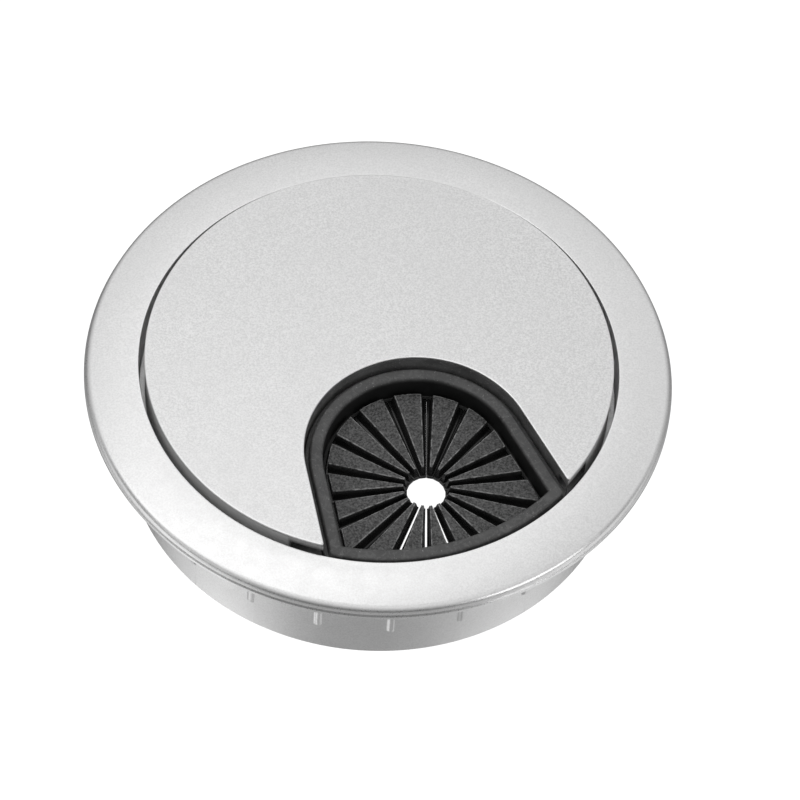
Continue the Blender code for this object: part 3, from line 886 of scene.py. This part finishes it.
def satin_silver(name, level, roughness, contrast):
    """Satin metal finish: fine speckle, faint clouds, edges rubbed smoother and a painted highlight
    on them.
    """
    nodes = new_nodes(name)
    speckle = nodes.noise(size=0.3 * MM, detail=3.0, roughness=0.7)
    clouds = nodes.noise(size=14.0 * MM, detail=3.0, roughness=0.5)
    rubs = nodes.noise(size=2.5 * MM, detail=4.0, roughness=0.6, distortion=0.6)
    worn_and_highlight = nodes.math("MULTIPLY", nodes.attribute("wear_and_highlight"), nodes.remap(rubs, 0.35, 0.6, 0.25, 1.0))
    dark = grey(level * (1.0 - 0.2 * contrast))
    light = grey(level * (1.0 + 0.16 * contrast))
    shade = nodes.mix(nodes.remap(speckle, 0.36, 0.64, 0.0, 1.0), dark, light)
    shade = nodes.mix(nodes.remap(clouds, 0.35, 0.65, 0.0, 0.3), shade, grey(level * 0.95))
    # Rubbed edges painted lighter: partly wear, partly a painted highlight
    nodes.set("Base Color", nodes.mix(nodes.math("MULTIPLY", worn_and_highlight, 0.6), shade, grey(level * 1.12)))
    nodes.set("Metallic", 0.9)
    rough = nodes.remap(rubs, 0.35, 0.7, roughness - 0.02, roughness + 0.05)
    rough = nodes.math("ADD", rough, nodes.remap(speckle, 0.3, 0.7, -0.04, 0.05))
    nodes.set("Roughness", nodes.math("SUBTRACT", rough, nodes.math("MULTIPLY", worn_and_highlight, 0.1)))
    nodes.set("Normal", nodes.bump(speckle, strength=0.6 * contrast, distance=0.02 * MM))
    return nodes.owner


def grained_plastic(name):
    """Spark-eroded plastic: painted glints on its grain, grey at its side, painted black shade
    inside.
    """
    nodes = new_nodes(name)
    grain = nodes.noise(size=0.3 * MM, detail=3.0, roughness=0.65)
    patches = nodes.noise(size=4.0 * MM, detail=3.0, roughness=0.5)
    # Painted glints: bright points on the grain, in the base colour
    painted_glints = nodes.remap(grain, 0.6, 0.7, 0.0, 1.0)
    shade = nodes.mix(nodes.remap(patches, 0.35, 0.65, 0.0, 1.0), grey(0.08), grey(0.14))
    shade = nodes.mix(painted_glints, shade, grey(0.3))
    shade = nodes.mix(nodes.math("MULTIPLY", nodes.attribute("side"), 0.8), shade, grey(0.6))
    # Painted shade: faces inside the shell turn near black
    nodes.set("Base Color", nodes.mix(nodes.attribute("cavity_shade"), shade, grey(0.03)))
    nodes.set("Roughness", nodes.remap(grain, 0.3, 0.7, 0.62, 0.4))
    nodes.set("Normal", nodes.bump(grain, strength=0.8, distance=0.08 * MM))
    return nodes.owner


def smooth_rubber(name):
    """The rim's rubber: a little cloudy, with scuffs, specks of dust and a painted black shade in
    the well.
    """
    nodes = new_nodes(name)
    clouds = nodes.noise(size=4.0 * MM, detail=4.0, roughness=0.55, distortion=0.4)
    skin = nodes.noise(size=0.4 * MM, detail=3.0, roughness=0.6)
    marks = nodes.noise(size=1.1 * MM, detail=5.0, roughness=0.7, distortion=1.5)
    scuffs = nodes.remap(marks, 0.5, 0.62, 0.0, 0.8)
    specks = nodes.noise(size=0.3 * MM, detail=1.0, roughness=0.5)
    dust = nodes.remap(specks, 0.72, 0.76, 0.0, 0.5)
    shade = nodes.mix(nodes.remap(clouds, 0.35, 0.65, 0.0, 1.0), grey(0.044), grey(0.072))
    shade = nodes.mix(scuffs, shade, grey(0.105))
    shade = nodes.mix(dust, shade, grey(0.4))
    # Painted shade: the well's wall turns near black
    nodes.set("Base Color", nodes.mix(nodes.attribute("well_shade"), shade, grey(0.008)))
    nodes.set("Roughness", nodes.remap(clouds, 0.3, 0.7, 0.46, 0.58))
    nodes.set("Normal", nodes.bump(skin, strength=0.2, distance=0.02 * MM))
    return nodes.owner


def petal_rubber(name):
    """The petals' rubber: grainy pads with a painted highlight on their edges, smoother and
    glossier flanks.
    """
    nodes = new_nodes(name)
    pad = nodes.attribute("grain")
    grain = nodes.noise(size=0.32 * MM, detail=3.0, roughness=0.7)
    clouds = nodes.noise(size=3.0 * MM, detail=3.0, roughness=0.5)
    marks = nodes.noise(size=0.9 * MM, detail=3.0, roughness=0.6, distortion=0.5)
    # Painted highlight: the pad's top edge turns lighter grey
    edge_highlight = nodes.math("MULTIPLY", nodes.attribute("edge_highlight"), nodes.remap(marks, 0.4, 0.6, 0.0, 1.0))
    flank = nodes.mix(nodes.remap(clouds, 0.35, 0.65, 0.0, 1.0), grey(0.006), grey(0.012))
    top = nodes.mix(nodes.remap(grain, 0.38, 0.64, 0.0, 1.0), grey(0.010), grey(0.115))
    nodes.set("Base Color", nodes.mix(edge_highlight, nodes.mix(pad, flank, top), grey(0.3)))
    flank_rough = nodes.remap(clouds, 0.3, 0.7, 0.2, 0.32)
    rough = nodes.add("ShaderNodeMix", {0: pad, 2: flank_rough, 3: 0.6}, data_type="FLOAT")
    nodes.set("Roughness", rough.outputs[0])
    depth = nodes.remap(pad, 0.0, 1.0, 0.15, 1.0)
    nodes.set("Normal", nodes.bump(grain, strength=depth, distance=0.08 * MM))
    return nodes.owner


def white_table(name):
    """Plain white table, evenly lit where the camera sees it."""
    nodes = new_nodes(name)
    nodes.set("Base Color", grey(TABLE_GREY))
    nodes.set("Roughness", 0.9)
    nodes.set("Specular IOR Level", 0.1)
    glow = nodes.add("ShaderNodeEmission", {"Color": grey(1.0), "Strength": TABLE_GLOW})
    direct = nodes.add("ShaderNodeLightPath").outputs["Is Camera Ray"]
    mixed = nodes.add("ShaderNodeMixShader")
    nodes.put(mixed.inputs[0], nodes.math("MULTIPLY", direct, TABLE_GLOW_SHARE))
    nodes.put(mixed.inputs[1], nodes.shader.outputs[0])
    nodes.put(mixed.inputs[2], glow.outputs[0])
    nodes.put(nodes.tree.nodes["Material Output"].inputs["Surface"], mixed.outputs[0])
    return nodes.owner


def paint(piece, material):
    """Give a piece one material."""
    piece.data.materials.clear()
    piece.data.materials.append(material)


# ---------------------------------------------------------------- set

def build_table():
    """Plain white table under the grommet."""
    bm = bmesh.new()
    bmesh.ops.create_grid(bm, x_segments=1, y_segments=1, size=TABLE_HALF_WIDTH)
    table = finish_mesh("table", bm)
    table.location.z = -TABLE_DROP
    table.visible_glossy = False
    paint(table, white_table("table_white"))


def aim(item, target, roll=0.0):
    """Point a camera or light at a target, with its up side turned by a roll."""
    forward = (Vector(target) - item.location).normalized()
    right = forward.cross(Vector((0.0, 0.0, 1.0))).normalized()
    above = right.cross(forward)
    up = above * math.cos(roll) - right * math.sin(roll)
    right = forward.cross(up)
    turn = Matrix((right, up, -forward)).transposed().to_4x4()
    item.matrix_world = Matrix.Translation(item.location) @ turn


def soft_light(name, azimuth, elevation, distance, width, height, radiance):
    """A rectangular soft box that faces the grommet. Azimuth 0 is behind it, 90 on its right."""
    light = bpy.data.lights.new(name, "AREA")
    light.shape = "RECTANGLE"
    light.size = width
    light.size_y = height
    light.energy = radiance * math.pi * width * height
    item = bpy.data.objects.new(name, light)
    a = math.radians(azimuth)
    e = math.radians(elevation)
    direction = Vector((math.sin(a) * math.cos(e), math.cos(a) * math.cos(e), math.sin(e)))
    item.location = direction * distance
    item.visible_camera = False
    bpy.context.scene.collection.objects.link(item)
    aim(item, (0.0, 0.0, FLANGE_TOP))


def build_surround():
    """Studio surround: graded above the horizon, and brighter at the left and right below it."""
    nodes = Nodes(bpy.data.worlds.new("surround"), "Background", "Generated")
    aside, away, up = nodes.split()
    behind = nodes.remap(away, -SURROUND_TURNOVER, SURROUND_TURNOVER, 0.0, 1.0)
    above = nodes.mix(behind, nodes.ramp(up, SURROUND_FRONT), nodes.ramp(up, SURROUND_BACK))
    turn = nodes.math("ARCTAN2", aside, nodes.math("MULTIPLY", away, -1.0))
    below = nodes.ramp(nodes.remap(turn, -math.pi, math.pi, 0.0, 1.0), SURROUND_BELOW)
    nodes.set("Color", nodes.mix(nodes.remap(up, -HORIZON_BLUR, 0.0, 0.0, 1.0), below, above))
    nodes.set("Strength", 1.0)
    bpy.context.scene.world = nodes.owner


def build_lights():
    """Soft boxes above, at the left, and low in front at both sides, inside a graded surround."""
    for box in SOFT_BOXES:
        soft_light(*box)
    build_surround()


def build_camera():
    """The camera and a plain view transform."""
    data = bpy.data.cameras.new("camera")
    data.lens = CAMERA_LENS
    data.sensor_width = CAMERA_SENSOR
    data.clip_start = CAMERA_NEAR
    camera = bpy.data.objects.new("camera", data)
    bpy.context.scene.collection.objects.link(camera)
    camera.location = CAMERA_PLACE
    aim(camera, CAMERA_TARGET, CAMERA_ROLL)
    bpy.context.scene.camera = camera
    bpy.context.scene.view_settings.view_transform = "Standard"


def build_grommet():
    """Every piece with its material."""
    paint(build_ring(), satin_silver("ring_silver", level=0.80, roughness=0.36, contrast=0.5))
    paint(build_cover(), satin_silver("cover_silver", level=0.74, roughness=0.38, contrast=0.75))
    paint(build_carrier(), grained_plastic("carrier_plastic"))
    paint(build_seal_rim(), smooth_rubber("rim_rubber"))
    rubber = petal_rubber("petal_rubber")
    for index in range(PETAL_COUNT):
        paint(build_petal(index), rubber)


build_grommet()
build_table()
build_lights()
build_camera()
